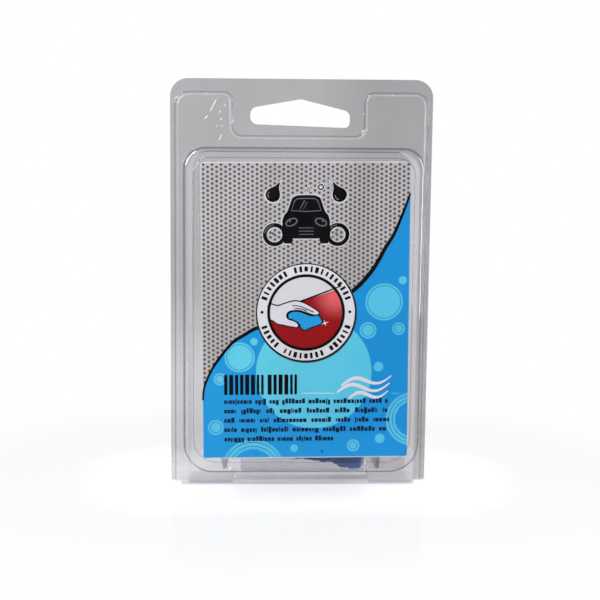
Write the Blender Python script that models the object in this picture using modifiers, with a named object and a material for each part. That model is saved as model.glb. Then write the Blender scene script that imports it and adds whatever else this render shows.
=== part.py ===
"""A car-detailing clay bar in its stand-up hinged clamshell pack.

Metres, +Z up. The pack's front faces -Y and the origin is the middle of its footprint.
Two thermoformed half shells meet at a flange and fold about a rolled hinge bead along
the front foot. The printed card lies in the front shell's window. The clay bar, in its
film sleeve, stands in a bay of the back shell, inside a rib shaped like an upturned U.
"""

import math

import bmesh
import bpy
from mathutils import Matrix, Vector

# Pack as a whole
PACK_WIDTH = 0.104
PACK_HEIGHT = 0.165
PACK_DEPTH = 0.025
SHEET = 0.0005
GAP = 0.0003
CAVITY_X = 0.0011
ARC_STEPS = 6

# Depth of each outer face, from the front to the back
WINDOW_FRONT = -PACK_DEPTH / 2
LEDGE_FRONT = WINDOW_FRONT + 0.0007
PAD_FRONT = WINDOW_FRONT + 0.0036
TAB_FRONT = PAD_FRONT + 0.0008
FACE_TO_FACE = 2 * SHEET + GAP
PACK_BACK = PACK_DEPTH / 2

# Hinge bead along the front foot, and the flange edge just above it
HINGE_RADIUS = 0.0007
HINGE_LENGTH = 0.0956
HINGE_Y = PAD_FRONT + SHEET + GAP / 2
FLANGE_BOTTOM = 2 * HINGE_RADIUS + GAP
FLANGE_RADIUS = 0.007
TRIM_DEPTH = 0.004

# Hang tab at the top: a raised pad starts below and beside it
PAD_MARGIN = 0.0016
PAD_TOP = 0.1601
TAB_X = -0.0013
TAB_WIDTH = 0.0516
TAB_BOTTOM = 0.1429
STEP_DRAFT = 0.0003

# Hang hole, a wide delta slot
HOLE_X = -0.0008
HOLE_BOTTOM = 0.1465
HOLE_WIDTH = 0.0395
HOLE_END_HEIGHT = 0.0064
HOLE_HEIGHT = 0.0106
HOLE_TILT = math.radians(-1.9)

# Raised frame and window of the front shell
FRAME_WIDTH = 0.0961
FRAME_BOTTOM = 0.0054
FRAME_TOP = 0.1383
FRAME_RADII = (0.012, 0.0085)
WINDOW_WIDTH = 0.0885
WINDOW_BOTTOM = 0.0100
WINDOW_TOP = 0.1346
WINDOW_RADII = (0.010, 0.007)
FRAME_DRAFT = 0.0005

# Cavity of the back shell, with two feet and an arch between them
CAVITY_WIDTH = 0.0928
CAVITY_TOP = 0.1363
CAVITY_RADIUS = 0.008
CAVITY_DRAFT = 0.0012
FOOT_RADIUS = 0.0015
ARCH_WIDTH = 0.0551
ARCH_HEIGHT = 0.0035
ARCH_DRAFT = 0.0006

# Rib round the clay's bay, an upturned U pressed in from the back
RIB_SPACING = 0.0624
RIB_BOTTOM = 0.0060
RIB_TOP = 0.0975
RIB_MOUTH = 0.0035
RIB_NOSE = 0.0015
RIB_FRONT = -0.0097
RIB_CORNER = 0.004

# Printed card
CARD_X = 0.0022
CARD_WIDTH = 0.0835
CARD_BOTTOM = 0.0119
CARD_HEIGHT = 0.1208
CARD_TILT = math.radians(-0.45)
CARD_THICKNESS = 0.0004
CARD_RADIUS = 0.0015
CARD_FRONT = LEDGE_FRONT + SHEET + GAP

# Clay bar and the film sleeve round it
FILM = 0.00015
BAR_X = 0.002
BAR_Y = 0.0009
BAR_WIDTH = 0.050
BAR_HEIGHT = 0.076
BAR_THICKNESS = 0.015
BAR_EDGE = 0.0025
SLEEVE_BOTTOM = ARCH_HEIGHT + ARCH_DRAFT + SHEET + GAP
SLEEVE_TOP = 0.0865
SLEEVE_RADIUS = 0.0029
BAR_BOTTOM = SLEEVE_BOTTOM + FILM + GAP


def start_clean():
    """Empty the scene and make the two collections the model uses."""
    for item in list(bpy.data.objects):
        bpy.data.objects.remove(item, do_unlink=True)
    groups = []
    for name in ("clay_bar_clamshell", "cutters"):
        group = bpy.data.collections.new(name)
        bpy.context.scene.collection.children.link(group)
        groups.append(group)
    return groups


def plastic(name, colour, roughness, alpha=1.0):
    """Principled material; clear plastics let most of the light through."""
    material = bpy.data.materials.new(name)
    material.use_nodes = True
    shader = material.node_tree.nodes["Principled BSDF"]
    shader.inputs["Base Color"].default_value = (*colour, 1.0)
    shader.inputs["Roughness"].default_value = roughness
    shader.inputs["Metallic"].default_value = 0.0
    shader.inputs["Alpha"].default_value = alpha
    return material


def add_object(name, data, group, material):
    """Named object for a mesh or curve, with its material."""
    item = bpy.data.objects.new(name, data)
    group.objects.link(item)
    if material is not None:
        data.materials.append(material)
    return item


def rounded_outline(corners):
    """Closed outline through (x, z, radius) corners, with a true arc at each rounded one."""
    outline = []
    for index, (x, z, radius) in enumerate(corners):
        corner = Vector((x, z))
        to_last = (Vector(corners[index - 1][:2]) - corner).normalized()
        to_next = (Vector(corners[(index + 1) % len(corners)][:2]) - corner).normalized()
        if radius == 0.0:
            outline.append(corner)
            continue
        half_angle = to_last.angle(to_next) / 2
        centre = corner + (to_last + to_next).normalized() * radius / math.sin(half_angle)
        reach = radius / math.tan(half_angle)
        first = corner + to_last * reach - centre
        last = corner + to_next * reach - centre
        start = math.atan2(first.y, first.x)
        sweep = math.atan2(last.y, last.x) - start
        sweep = (sweep + math.pi) % (2 * math.pi) - math.pi
        for step in range(ARC_STEPS + 1):
            angle = start + sweep * step / ARC_STEPS
            outline.append(centre + Vector((math.cos(angle), math.sin(angle))) * radius)
    return outline


def inset(corners, distance):
    """Corners moved into the outline, which runs anticlockwise, keeping its arcs concentric."""
    moved = []
    for index, (x, z, radius) in enumerate(corners):
        corner = Vector((x, z))
        arriving = (corner - Vector(corners[index - 1][:2])).normalized()
        leaving = (Vector(corners[(index + 1) % len(corners)][:2]) - corner).normalized()
        normal_in = Vector((-arriving.y, arriving.x))
        normal_out = Vector((-leaving.y, leaving.x))
        corner = corner + (normal_in + normal_out) * distance / (1 + normal_in.dot(normal_out))
        is_convex = arriving.cross(leaving) > 0
        if radius > 0.0:
            radius = radius - distance if is_convex else radius + distance
        moved.append((corner.x, corner.y, radius))
    return moved


def rectangle(left, right, bottom, top, bottom_radius, top_radius):
    """Corners of an upright rounded rectangle, anticlockwise seen from the front."""
    return [
        (left, bottom, bottom_radius),
        (right, bottom, bottom_radius),
        (right, top, top_radius),
        (left, top, top_radius),
    ]


def flange_corners():
    """Outer edge of both flanges; the hinge trim later ends them at FLANGE_BOTTOM."""
    side = PACK_WIDTH / 2
    return rectangle(-side, side, -TRIM_DEPTH, PACK_HEIGHT, 0.0, FLANGE_RADIUS)


def pad_corners():
    """Edge of the raised pad, which dips round the hang tab."""
    side = PACK_WIDTH / 2 - PAD_MARGIN
    tab_left = TAB_X - TAB_WIDTH / 2
    tab_right = TAB_X + TAB_WIDTH / 2
    return [
        (-side, -TRIM_DEPTH / 2, 0.0),
        (side, -TRIM_DEPTH / 2, 0.0),
        (side, PAD_TOP, 0.0055),
        (tab_right, PAD_TOP, 0.004),
        (tab_right, TAB_BOTTOM, 0.0035),
        (tab_left, TAB_BOTTOM, 0.0035),
        (tab_left, PAD_TOP, 0.004),
        (-side, PAD_TOP, 0.0055),
    ]


def hole_corners():
    """Delta-shaped hang slot: flat below, peaked above, with rounded ends."""
    half = HOLE_WIDTH / 2
    level = [
        (-half, 0.0, 0.0030),
        (half, 0.0, 0.0020),
        (half, HOLE_END_HEIGHT, 0.0030),
        (0.0, HOLE_HEIGHT, 0.0030),
        (-half, HOLE_END_HEIGHT, 0.0030),
    ]
    cosine, sine = math.cos(HOLE_TILT), math.sin(HOLE_TILT)
    return [
        (HOLE_X + x * cosine - z * sine, HOLE_BOTTOM + x * sine + z * cosine, radius)
        for x, z, radius in level
    ]


def frame_corners():
    """Foot of the raised frame on the front shell."""
    half = FRAME_WIDTH / 2
    return rectangle(CAVITY_X - half, CAVITY_X + half, FRAME_BOTTOM, FRAME_TOP, *FRAME_RADII)


def window_corners():
    """Edge of the flat window inside the frame."""
    half = WINDOW_WIDTH / 2
    return rectangle(CAVITY_X - half, CAVITY_X + half, WINDOW_BOTTOM, WINDOW_TOP, *WINDOW_RADII)


def cavity_corners(draft, arch_draft):
    """Section of the back cavity; the two feet keep z = 0 all the way to the back."""
    left = CAVITY_X - CAVITY_WIDTH / 2 + draft
    right = CAVITY_X + CAVITY_WIDTH / 2 - draft
    arch_left = CAVITY_X - ARCH_WIDTH / 2 - arch_draft
    arch_right = CAVITY_X + ARCH_WIDTH / 2 + arch_draft
    arch_top = ARCH_HEIGHT + arch_draft
    return [
        (left, 0.0, FOOT_RADIUS),
        (arch_left, 0.0, FOOT_RADIUS),
        (arch_left, arch_top, FOOT_RADIUS),
        (arch_right, arch_top, FOOT_RADIUS),
        (arch_right, 0.0, FOOT_RADIUS),
        (right, 0.0, FOOT_RADIUS),
        (right, CAVITY_TOP - draft, CAVITY_RADIUS - draft),
        (left, CAVITY_TOP - draft, CAVITY_RADIUS - draft),
    ]


def rib_corners(width):
    """Upturned U of the given groove width, about one centre line."""
    half = width / 2
    leg = RIB_SPACING / 2
    ends = (RIB_MOUTH - width) / 2
    bottom = RIB_BOTTOM + ends
    end_radius = half * 0.9
    return [
        (CAVITY_X - leg - half, bottom, end_radius),
        (CAVITY_X - leg + half, bottom, end_radius),
        (CAVITY_X - leg + half, RIB_TOP - half, RIB_CORNER - half),
        (CAVITY_X + leg - half, RIB_TOP - half, RIB_CORNER - half),
        (CAVITY_X + leg - half, bottom, end_radius),
        (CAVITY_X + leg + half, bottom, end_radius),
        (CAVITY_X + leg + half, RIB_TOP + half, RIB_CORNER + half),
        (CAVITY_X - leg - half, RIB_TOP + half, RIB_CORNER + half),
    ]


def add_ring(sheet, corners, depth):
    """Closed ring of vertices at one depth."""
    return [sheet.verts.new((x, depth, z)) for x, z in rounded_outline(corners)]


def add_wall(sheet, near, far):
    """Faces between two rings with equal counts."""
    for index in range(len(near)):
        quad = (near[index - 1], near[index], far[index], far[index - 1])
        sheet.faces.new(quad)


def add_region(sheet, *rings):
    """Flat area inside the first ring and outside the others."""
    edges = []
    for ring in rings:
        for index in range(len(ring)):
            pair = (ring[index - 1], ring[index])
            edges.append(sheet.edges.get(pair) or sheet.edges.new(pair))
    bmesh.ops.triangle_fill(sheet, use_beauty=True, use_dissolve=False, edges=edges)


def sheet_object(name, sheet, faces_back, thickness, group, material):
    """Turn the surface's faces outwards and give it the sheet's thickness on the inside."""
    bmesh.ops.recalc_face_normals(sheet, faces=sheet.faces)
    facing = sum(face.normal.y * face.calc_area() for face in sheet.faces)
    if (facing > 0) != faces_back:
        bmesh.ops.reverse_faces(sheet, faces=sheet.faces)
    mesh = bpy.data.meshes.new(name)
    sheet.to_mesh(mesh)
    sheet.free()
    item = add_object(name, mesh, group, material)
    solidify = item.modifiers.new("sheet", "SOLIDIFY")
    solidify.thickness = thickness
    solidify.offset = -1.0
    solidify.use_even_offset = True
    solidify.use_quality_normals = True
    return item


def make_hinge_trim(cutters):
    """Cutter that ends both sheets just clear of the hinge bead."""
    back = TAB_FRONT + FACE_TO_FACE + GAP
    front = WINDOW_FRONT - GAP
    bottom = -2 * TRIM_DEPTH
    centre = Vector((0.0, (front + back) / 2, (bottom + FLANGE_BOTTOM) / 2))
    bpy.ops.mesh.primitive_cube_add(size=1.0, location=centre)
    trim = bpy.context.active_object
    trim.name = "hinge_trim"
    size = Vector((PACK_WIDTH * 1.2, back - front, FLANGE_BOTTOM - bottom))
    trim.data.transform(Matrix.Diagonal((*size, 1.0)))
    for group in list(trim.users_collection):
        group.objects.unlink(trim)
    cutters.objects.link(trim)
    trim.hide_render = True
    trim.display_type = "WIRE"
    return trim


def cut_with(item, cutter):
    """Boolean difference kept on the object."""
    cut = item.modifiers.new("cut_" + cutter.name, "BOOLEAN")
    cut.operation = "DIFFERENCE"
    cut.solver = "EXACT"
    cut.object = cutter


def make_front_shell(group, trim):
    """Front half: hang tab, pad, frame step, ledge and window in one formed sheet."""
    sheet = bmesh.new()
    pad = pad_corners()
    edge = add_ring(sheet, flange_corners(), TAB_FRONT)
    hole = add_ring(sheet, hole_corners(), TAB_FRONT)
    pad_foot = add_ring(sheet, pad, TAB_FRONT)
    pad_rim = add_ring(sheet, inset(pad, STEP_DRAFT), PAD_FRONT)
    frame_foot = add_ring(sheet, frame_corners(), PAD_FRONT)
    frame_rim = add_ring(sheet, inset(frame_corners(), FRAME_DRAFT), LEDGE_FRONT)
    window_foot = add_ring(sheet, window_corners(), LEDGE_FRONT)
    window_rim = add_ring(sheet, inset(window_corners(), STEP_DRAFT), WINDOW_FRONT)
    add_region(sheet, edge, pad_foot, hole)
    add_wall(sheet, pad_foot, pad_rim)
    add_region(sheet, pad_rim, frame_foot)
    add_wall(sheet, frame_foot, frame_rim)
    add_region(sheet, frame_rim, window_foot)
    add_wall(sheet, window_foot, window_rim)
    add_region(sheet, window_rim)
    clear = plastic("front_shell_clear", (0.82, 0.82, 0.84), 0.08, 0.3)
    shell = sheet_object("front_shell", sheet, False, SHEET, group, clear)
    cut_with(shell, trim)
    return shell


def make_back_shell(group, trim):
    """Back half: nests behind the front flange, with the deep cavity, feet, arch and rib."""
    sheet = bmesh.new()
    pad = inset(pad_corners(), FACE_TO_FACE)
    edge = add_ring(sheet, flange_corners(), TAB_FRONT + FACE_TO_FACE)
    hole = add_ring(sheet, hole_corners(), TAB_FRONT + FACE_TO_FACE)
    pad_foot = add_ring(sheet, pad, TAB_FRONT + FACE_TO_FACE)
    pad_rim = add_ring(sheet, inset(pad, STEP_DRAFT), PAD_FRONT + FACE_TO_FACE)
    mouth = add_ring(sheet, cavity_corners(0.0, 0.0), PAD_FRONT + FACE_TO_FACE)
    floor = add_ring(sheet, cavity_corners(CAVITY_DRAFT, ARCH_DRAFT), PACK_BACK)
    rib_mouth = add_ring(sheet, rib_corners(RIB_MOUTH), PACK_BACK)
    rib_nose = add_ring(sheet, rib_corners(RIB_NOSE), RIB_FRONT)
    add_region(sheet, edge, pad_foot, hole)
    add_wall(sheet, pad_foot, pad_rim)
    add_region(sheet, pad_rim, mouth)
    add_wall(sheet, mouth, floor)
    add_region(sheet, floor, rib_mouth)
    add_wall(sheet, rib_mouth, rib_nose)
    add_region(sheet, rib_nose)
    clear = plastic("back_shell_clear", (0.80, 0.81, 0.83), 0.08, 0.3)
    shell = sheet_object("back_shell", sheet, True, SHEET, group, clear)
    cut_with(shell, trim)
    return shell


def make_living_hinge(group):
    """Rolled bead between the two sheets, with softly rounded ends."""
    bpy.ops.mesh.primitive_cylinder_add(
        vertices=16, radius=HINGE_RADIUS, depth=HINGE_LENGTH,
        location=(0.0, HINGE_Y, HINGE_RADIUS), rotation=(0.0, math.pi / 2, 0.0))
    bead = bpy.context.active_object
    bead.name = "living_hinge"
    for old_group in list(bead.users_collection):
        old_group.objects.unlink(bead)
    group.objects.link(bead)
    bead.data.materials.append(plastic("hinge_clear", (0.78, 0.79, 0.82), 0.12, 0.5))
    rounding = bead.modifiers.new("rounded_ends", "BEVEL")
    rounding.width = HINGE_RADIUS * 0.6
    rounding.segments = 2
    rounding.limit_method = "ANGLE"
    rounding.angle_limit = math.radians(60)
    bead.data.shade_smooth()
    bead.data.set_sharp_from_angle(angle=math.radians(40))
    return bead


def make_printed_card(group):
    """Flat card behind the window, lying slightly askew about its own middle."""
    half = CARD_WIDTH / 2
    middle = CARD_HEIGHT / 2
    corners = rectangle(-half, half, -middle, middle, CARD_RADIUS, CARD_RADIUS)
    outline = rounded_outline(corners)
    curve = bpy.data.curves.new("printed_card", "CURVE")
    curve.dimensions = "2D"
    curve.fill_mode = "BOTH"
    curve.extrude = CARD_THICKNESS / 2
    spline = curve.splines.new("POLY")
    spline.points.add(len(outline) - 1)
    for point, (x, z) in zip(spline.points, outline):
        point.co = (x, z, 0.0, 1.0)
    spline.use_cyclic_u = True
    paper = plastic("card_print", (0.13, 0.52, 0.80), 0.35)
    card = add_object("printed_card", curve, group, paper)
    card.location = (CARD_X, CARD_FRONT + CARD_THICKNESS / 2, CARD_BOTTOM + middle)
    card.rotation_euler = (math.pi / 2, CARD_TILT, 0.0)
    return card


def make_clay_bar(group):
    """Slab of clay whose lower left corner has been pressed up."""
    half = BAR_WIDTH / 2
    outline = [
        (-half, 0.0070), (-0.0074, 0.0048), (0.0110, 0.0026), (0.0165, 0.0),
        (half, 0.0), (half, BAR_HEIGHT), (-half, BAR_HEIGHT),
    ]
    slab = bmesh.new()
    face = slab.faces.new([slab.verts.new((x, -BAR_THICKNESS / 2, z)) for x, z in outline])
    pushed = bmesh.ops.extrude_face_region(slab, geom=[face])
    moved = [part for part in pushed["geom"] if isinstance(part, bmesh.types.BMVert)]
    bmesh.ops.translate(slab, verts=moved, vec=(0.0, BAR_THICKNESS, 0.0))
    bmesh.ops.recalc_face_normals(slab, faces=slab.faces)
    mesh = bpy.data.meshes.new("clay_bar")
    slab.to_mesh(mesh)
    slab.free()
    clay = add_object("clay_bar", mesh, group, plastic("clay_blue", (0.035, 0.07, 0.19), 0.5))
    clay.location = (BAR_X, BAR_Y, BAR_BOTTOM)
    rounding = clay.modifiers.new("soft_edges", "BEVEL")
    rounding.width = BAR_EDGE
    rounding.segments = 3
    rounding.limit_method = "ANGLE"
    rounding.angle_limit = math.radians(50)
    return clay


def make_clay_wrapper(group):
    """Film sleeve round the clay: folded shut below, open above."""
    half_width = BAR_WIDTH / 2 + GAP + FILM
    half_depth = BAR_THICKNESS / 2 + GAP + FILM
    section = rounded_outline(rectangle(
        -half_width, half_width, -half_depth, half_depth, SLEEVE_RADIUS, SLEEVE_RADIUS))
    sleeve = bmesh.new()
    rings = []
    for height in (0.0, SLEEVE_TOP - SLEEVE_BOTTOM):
        rings.append([sleeve.verts.new((x, y, height)) for x, y in section])
    add_wall(sleeve, *rings)
    add_region(sleeve, rings[0])
    bmesh.ops.recalc_face_normals(sleeve, faces=sleeve.faces)
    if min(sleeve.faces, key=lambda face: face.calc_center_median().z).normal.z > 0:
        bmesh.ops.reverse_faces(sleeve, faces=sleeve.faces)
    mesh = bpy.data.meshes.new("clay_wrapper")
    sleeve.to_mesh(mesh)
    sleeve.free()
    film = plastic("film_clear", (0.9, 0.92, 0.95), 0.05, 0.25)
    wrapper = add_object("clay_wrapper", mesh, group, film)
    wrapper.location = (BAR_X, BAR_Y, SLEEVE_BOTTOM)
    solidify = wrapper.modifiers.new("film", "SOLIDIFY")
    solidify.thickness = FILM
    solidify.offset = -1.0
    solidify.use_even_offset = True
    return wrapper


def carry(name, place, children, group):
    """Empty at a joint's origin that carries the pieces moved by that joint."""
    pivot = bpy.data.objects.new(name, None)
    pivot.location = place
    group.objects.link(pivot)
    for child in children:
        child.parent = pivot
        child.matrix_parent_inverse = Matrix.Translation(-Vector(place))


def main():
    parts, cutters = start_clean()
    trim = make_hinge_trim(cutters)
    front_shell = make_front_shell(parts, trim)
    make_back_shell(parts, trim)
    make_living_hinge(parts)
    card = make_printed_card(parts)
    clay = make_clay_bar(parts)
    wrapper = make_clay_wrapper(parts)
    carry("lid_hinge_axis", (0.0, HINGE_Y, HINGE_RADIUS), [front_shell, card], parts)
    carry("clay_seat", (BAR_X, BAR_Y, SLEEVE_BOTTOM), [clay, wrapper], parts)


main()
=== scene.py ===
"""Looks of the clay bar in its stand-up hinged clamshell pack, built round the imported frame.

Metres, +Z up, the pack's front facing -Y. Card artwork is laid out in millimetres from the
card's middle: a runs to the right and b runs up, as seen from the front.
"""

import math
import random

import bmesh
import bpy
from mathutils import Matrix, Vector, noise


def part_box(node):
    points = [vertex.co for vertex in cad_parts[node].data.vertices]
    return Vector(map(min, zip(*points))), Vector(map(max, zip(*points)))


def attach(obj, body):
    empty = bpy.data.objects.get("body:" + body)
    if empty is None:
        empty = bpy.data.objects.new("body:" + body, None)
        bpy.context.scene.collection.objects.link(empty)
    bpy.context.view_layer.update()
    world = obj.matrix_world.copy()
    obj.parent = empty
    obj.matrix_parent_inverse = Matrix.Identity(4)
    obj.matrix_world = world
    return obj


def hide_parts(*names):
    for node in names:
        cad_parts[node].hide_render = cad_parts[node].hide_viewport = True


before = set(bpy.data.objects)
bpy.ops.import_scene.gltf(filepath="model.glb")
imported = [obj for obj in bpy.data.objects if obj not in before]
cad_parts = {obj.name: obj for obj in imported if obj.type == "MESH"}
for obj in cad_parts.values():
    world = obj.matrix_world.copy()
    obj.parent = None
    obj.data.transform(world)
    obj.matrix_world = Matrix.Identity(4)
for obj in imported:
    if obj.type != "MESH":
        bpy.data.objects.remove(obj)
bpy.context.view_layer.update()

MM = 0.001

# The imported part's own dimensions, which the thin sheets repeat
SHEET = 0.0005
GAP = 0.0003
CAVITY_X = 0.0011
WINDOW_FRONT = -0.0125
LEDGE_FRONT = WINDOW_FRONT + 0.0007
PAD_FRONT = WINDOW_FRONT + 0.0036
TAB_FRONT = PAD_FRONT + 0.0008
FACE_TO_FACE = 2 * SHEET + GAP
PACK_BACK = 0.0125
HALF_WIDTH = 0.052
PACK_HEIGHT = 0.165
HINGE_RADIUS = 0.0007
FLANGE_BOTTOM = 2 * HINGE_RADIUS + GAP
FLANGE_RADIUS = 0.007
TRIM_DEPTH = 0.004
STEP_DRAFT = 0.0003
FRAME_DRAFT = 0.0005
CAVITY_DRAFT = 0.0012
ARCH_DRAFT = 0.0006
RIB_FRONT = -0.0097
RIB_MOUTH = 0.0035
RIB_NOSE = 0.0015
CARD_MIDDLE = Vector((0.0022, 0.0723))
CARD_TILT = math.radians(-0.45)
CARD_FRONT = LEDGE_FRONT + SHEET + GAP
CARD_BACK = CARD_FRONT + 0.0004
SLEEVE_MIDDLE = Vector((0.002, 0.0009))
SLEEVE_HALF = Vector((0.02545, 0.00795))
ARCH_HEIGHT = 0.0035
SLEEVE_BOTTOM = ARCH_HEIGHT + ARCH_DRAFT + SHEET + GAP
SLEEVE_TOP = 0.0865
SLEEVE_RADIUS = 0.0029
SLEEVE_FILM = 0.00006

# Thickness the clear sheets are drawn with, so that each crease shows as one line
SHEET_SHOWN = 0.00025
# Height that the softboxes face
PACK_MIDDLE = 0.08
# Straight pieces in each corner of an outline, and in each half of a formed step
ARC_STEPS = 8
FILLET_STEPS = 4
# Rings and strokes on the card, and marks on the sheet, are set out round this point
ORIGIN = (0.0, 0.0)


# ---- outlines


def rounded_outline(corners, steps=ARC_STEPS):
    """Closed outline through (x, z, radius) corners, with an arc at each rounded one."""
    outline = []
    for index, (x, z, radius) in enumerate(corners):
        corner = Vector((x, z))
        to_last = (Vector(corners[index - 1][:2]) - corner).normalized()
        to_next = (Vector(corners[(index + 1) % len(corners)][:2]) - corner).normalized()
        if radius == 0.0:
            outline.append(corner)
            continue
        half_angle = to_last.angle(to_next) / 2
        centre = corner + (to_last + to_next).normalized() * radius / math.sin(half_angle)
        reach = radius / math.tan(half_angle)
        first = corner + to_last * reach - centre
        last = corner + to_next * reach - centre
        start = math.atan2(first.y, first.x)
        sweep = math.atan2(last.y, last.x) - start
        sweep = (sweep + math.pi) % (2 * math.pi) - math.pi
        for step in range(steps + 1):
            angle = start + sweep * step / steps
            outline.append(centre + Vector((math.cos(angle), math.sin(angle))) * radius)
    return outline


def inset(corners, distance):
    """Corners moved into the outline, which runs anticlockwise, keeping its arcs concentric."""
    moved = []
    for index, (x, z, radius) in enumerate(corners):
        corner = Vector((x, z))
        arriving = (corner - Vector(corners[index - 1][:2])).normalized()
        leaving = (Vector(corners[(index + 1) % len(corners)][:2]) - corner).normalized()
        normal_in = Vector((-arriving.y, arriving.x))
        normal_out = Vector((-leaving.y, leaving.x))
        corner = corner + (normal_in + normal_out) * distance / (1 + normal_in.dot(normal_out))
        is_convex = arriving.cross(leaving) > 0
        if radius > 0.0:
            radius = max(radius - distance if is_convex else radius + distance, 0.00005)
        moved.append((corner.x, corner.y, radius))
    return moved


def between(first, last, share):
    """Corners part of the way from one outline to another."""
    return [
        tuple(a + (b - a) * share for a, b in zip(one, other))
        for one, other in zip(first, last)
    ]


def rectangle(left, right, bottom, top, bottom_radius, top_radius):
    """Corners of an upright rounded rectangle, anticlockwise seen from the front."""
    return [
        (left, bottom, bottom_radius),
        (right, bottom, bottom_radius),
        (right, top, top_radius),
        (left, top, top_radius),
    ]


def flange_corners():
    """Outer edge of both flanges, run past the foot so that the trim can end them."""
    return rectangle(-HALF_WIDTH, HALF_WIDTH, -TRIM_DEPTH, PACK_HEIGHT, 0.0, FLANGE_RADIUS)


def pad_corners():
    """Edge of the raised pad, which dips round the hang tab."""
    side = HALF_WIDTH - 0.0016
    top = 0.1601
    tab_left, tab_right, tab_bottom = -0.0271, 0.0245, 0.1429
    return [
        (-side, -TRIM_DEPTH / 2, 0.0),
        (side, -TRIM_DEPTH / 2, 0.0),
        (side, top, 0.0055),
        (tab_right, top, 0.004),
        (tab_right, tab_bottom, 0.0035),
        (tab_left, tab_bottom, 0.0035),
        (tab_left, top, 0.004),
        (-side, top, 0.0055),
    ]


def hole_corners():
    """Delta-shaped hang slot, highest in the middle."""
    half, end, middle, bend = 0.01975, 0.0064, 0.0106, 0.0030
    x, z, tilt = -0.0008, 0.1465, math.radians(-1.9)
    level = [
        (-half, 0.0, bend), (half, 0.0, 0.0020), (half, end, bend),
        (0.0, middle, bend), (-half, end, bend),
    ]
    cosine, sine = math.cos(tilt), math.sin(tilt)
    return [(x + a * cosine - b * sine, z + a * sine + b * cosine, r) for a, b, r in level]


def both_sides(corners):
    """Right half of an outline about the cavity's middle, closed by its mirror image."""
    right = [(CAVITY_X + x, z, radius) for x, z, radius in corners]
    return right + [(CAVITY_X - x, z, radius) for x, z, radius in reversed(corners)]


def frame_corners():
    """Foot of the raised frame on the front sheet."""
    half, bottom, top = 0.04805, 0.0054, 0.1383
    return both_sides([(half, bottom, 0.012), (half, top, 0.0085)])


def window_corners():
    """Edge of the flat window inside the frame."""
    half, bottom, top = 0.04425, 0.0100, 0.1346
    return both_sides([(half, bottom, 0.010), (half, top, 0.007)])


def cavity_corners(draft, arch_draft):
    """Section of the back cavity, with its two feet and the arch between them."""
    half, arch_half, foot = 0.0464 - draft, 0.02755 + arch_draft, 0.0015
    return both_sides([
        (arch_half, ARCH_HEIGHT + arch_draft, foot), (arch_half, 0.0, foot),
        (half, 0.0, foot), (half, 0.1363 - draft, 0.008 - draft),
    ])


def rib_corners(width):
    """Upturned U of the given groove width, about one centre line."""
    half, leg, top, corner = width / 2, 0.0312, 0.0975, 0.004
    bottom, end = 0.0060 + (RIB_MOUTH - width) / 2, half * 0.9
    return both_sides([
        (leg - half, top - half, corner - half), (leg - half, bottom, end),
        (leg + half, bottom, end), (leg + half, top + half, corner + half),
    ])


def smooth_path(points, closed=False, steps=6):
    """Catmull-Rom curve through the points."""
    count = len(points)
    spots = [Vector(point) for point in points]
    path = []
    for index in range(count if closed else count - 1):
        p0, p1, p2, p3 = (
            spots[k % count if closed else min(max(k, 0), count - 1)]
            for k in range(index - 1, index + 3))
        for step in range(steps):
            t = step / steps
            path.append(0.5 * (
                2 * p1 + (p2 - p0) * t + (2 * p0 - 5 * p1 + 4 * p2 - p3) * t**2
                + (3 * p1 - p0 - 3 * p2 + p3) * t**3))
    if not closed:
        path.append(spots[-1])
    return path


def circle(centre, radius, steps=64, start=0.0, sweep=360.0):
    """Points on a circle, or on an arc if the sweep is less than a full turn."""
    count = steps if sweep == 360.0 else steps + 1
    angles = (math.radians(start + sweep * step / steps) for step in range(count))
    return [
        Vector((centre[0] + radius * math.cos(angle), centre[1] + radius * math.sin(angle)))
        for angle in angles
    ]


def moved(points, centre, turn=0.0, scale=1.0):
    """Points turned, scaled and set round a centre."""
    cosine, sine = math.cos(math.radians(turn)), math.sin(math.radians(turn))
    return [
        Vector((
            centre[0] + (a * cosine - b * sine) * scale,
            centre[1] + (a * sine + b * cosine) * scale))
        for a, b in points
    ]


def mirrored(points):
    """Half outline from top to bottom on the right, closed by its mirror image."""
    return [Vector(p) for p in points] + [Vector((-a, b)) for a, b in reversed(points) if a > 0]


# ---- mesh building


def add_ring(sheet, outline, depth):
    """Closed ring of vertices at one depth."""
    return [sheet.verts.new((x, depth, z)) for x, z in outline]


def add_wall(sheet, near, far):
    """Faces between two rings with equal counts."""
    return [
        sheet.faces.new((near[index - 1], near[index], far[index], far[index - 1]))
        for index in range(len(near))
    ]


def add_region(sheet, *rings):
    """Flat area inside the first ring and outside the others."""
    edges = []
    for ring in rings:
        for index in range(len(ring)):
            pair = (ring[index - 1], ring[index])
            edges.append(sheet.edges.get(pair) or sheet.edges.new(pair))
    filled = bmesh.ops.triangle_fill(sheet, use_beauty=True, use_dissolve=False, edges=edges)
    return [part for part in filled["geom"] if isinstance(part, bmesh.types.BMFace)]


def add_step(sheet, foot, foot_depth, rim, rim_depth, foot_fillet, rim_fillet):
    """Formed step from one flat to the next, rounded at its foot and at its rim."""
    rise = rim_depth - foot_depth
    bends = [step / FILLET_STEPS for step in range(FILLET_STEPS + 1)]
    foot_share, rim_share = foot_fillet / abs(rise), rim_fillet / abs(rise)
    profile = [(b**2 * foot_share, -foot_fillet * (1 - b) ** 2) for b in bends]
    profile += [(1 - (1 - b) ** 2 * rim_share, rim_fillet * b**2) for b in bends]
    rings = []
    for share, distance in profile:
        corners = inset(between(foot, rim, share), distance)
        rings.append(add_ring(sheet, rounded_outline(corners), foot_depth + rise * share))
    for near, far in zip(rings, rings[1:]):
        add_wall(sheet, near, far)
    return rings[0], rings[-1]


def to_mesh(name, sheet):
    """Mesh data made from a bmesh, which is then freed."""
    mesh = bpy.data.meshes.new(name)
    sheet.to_mesh(mesh)
    sheet.free()
    return mesh


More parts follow.
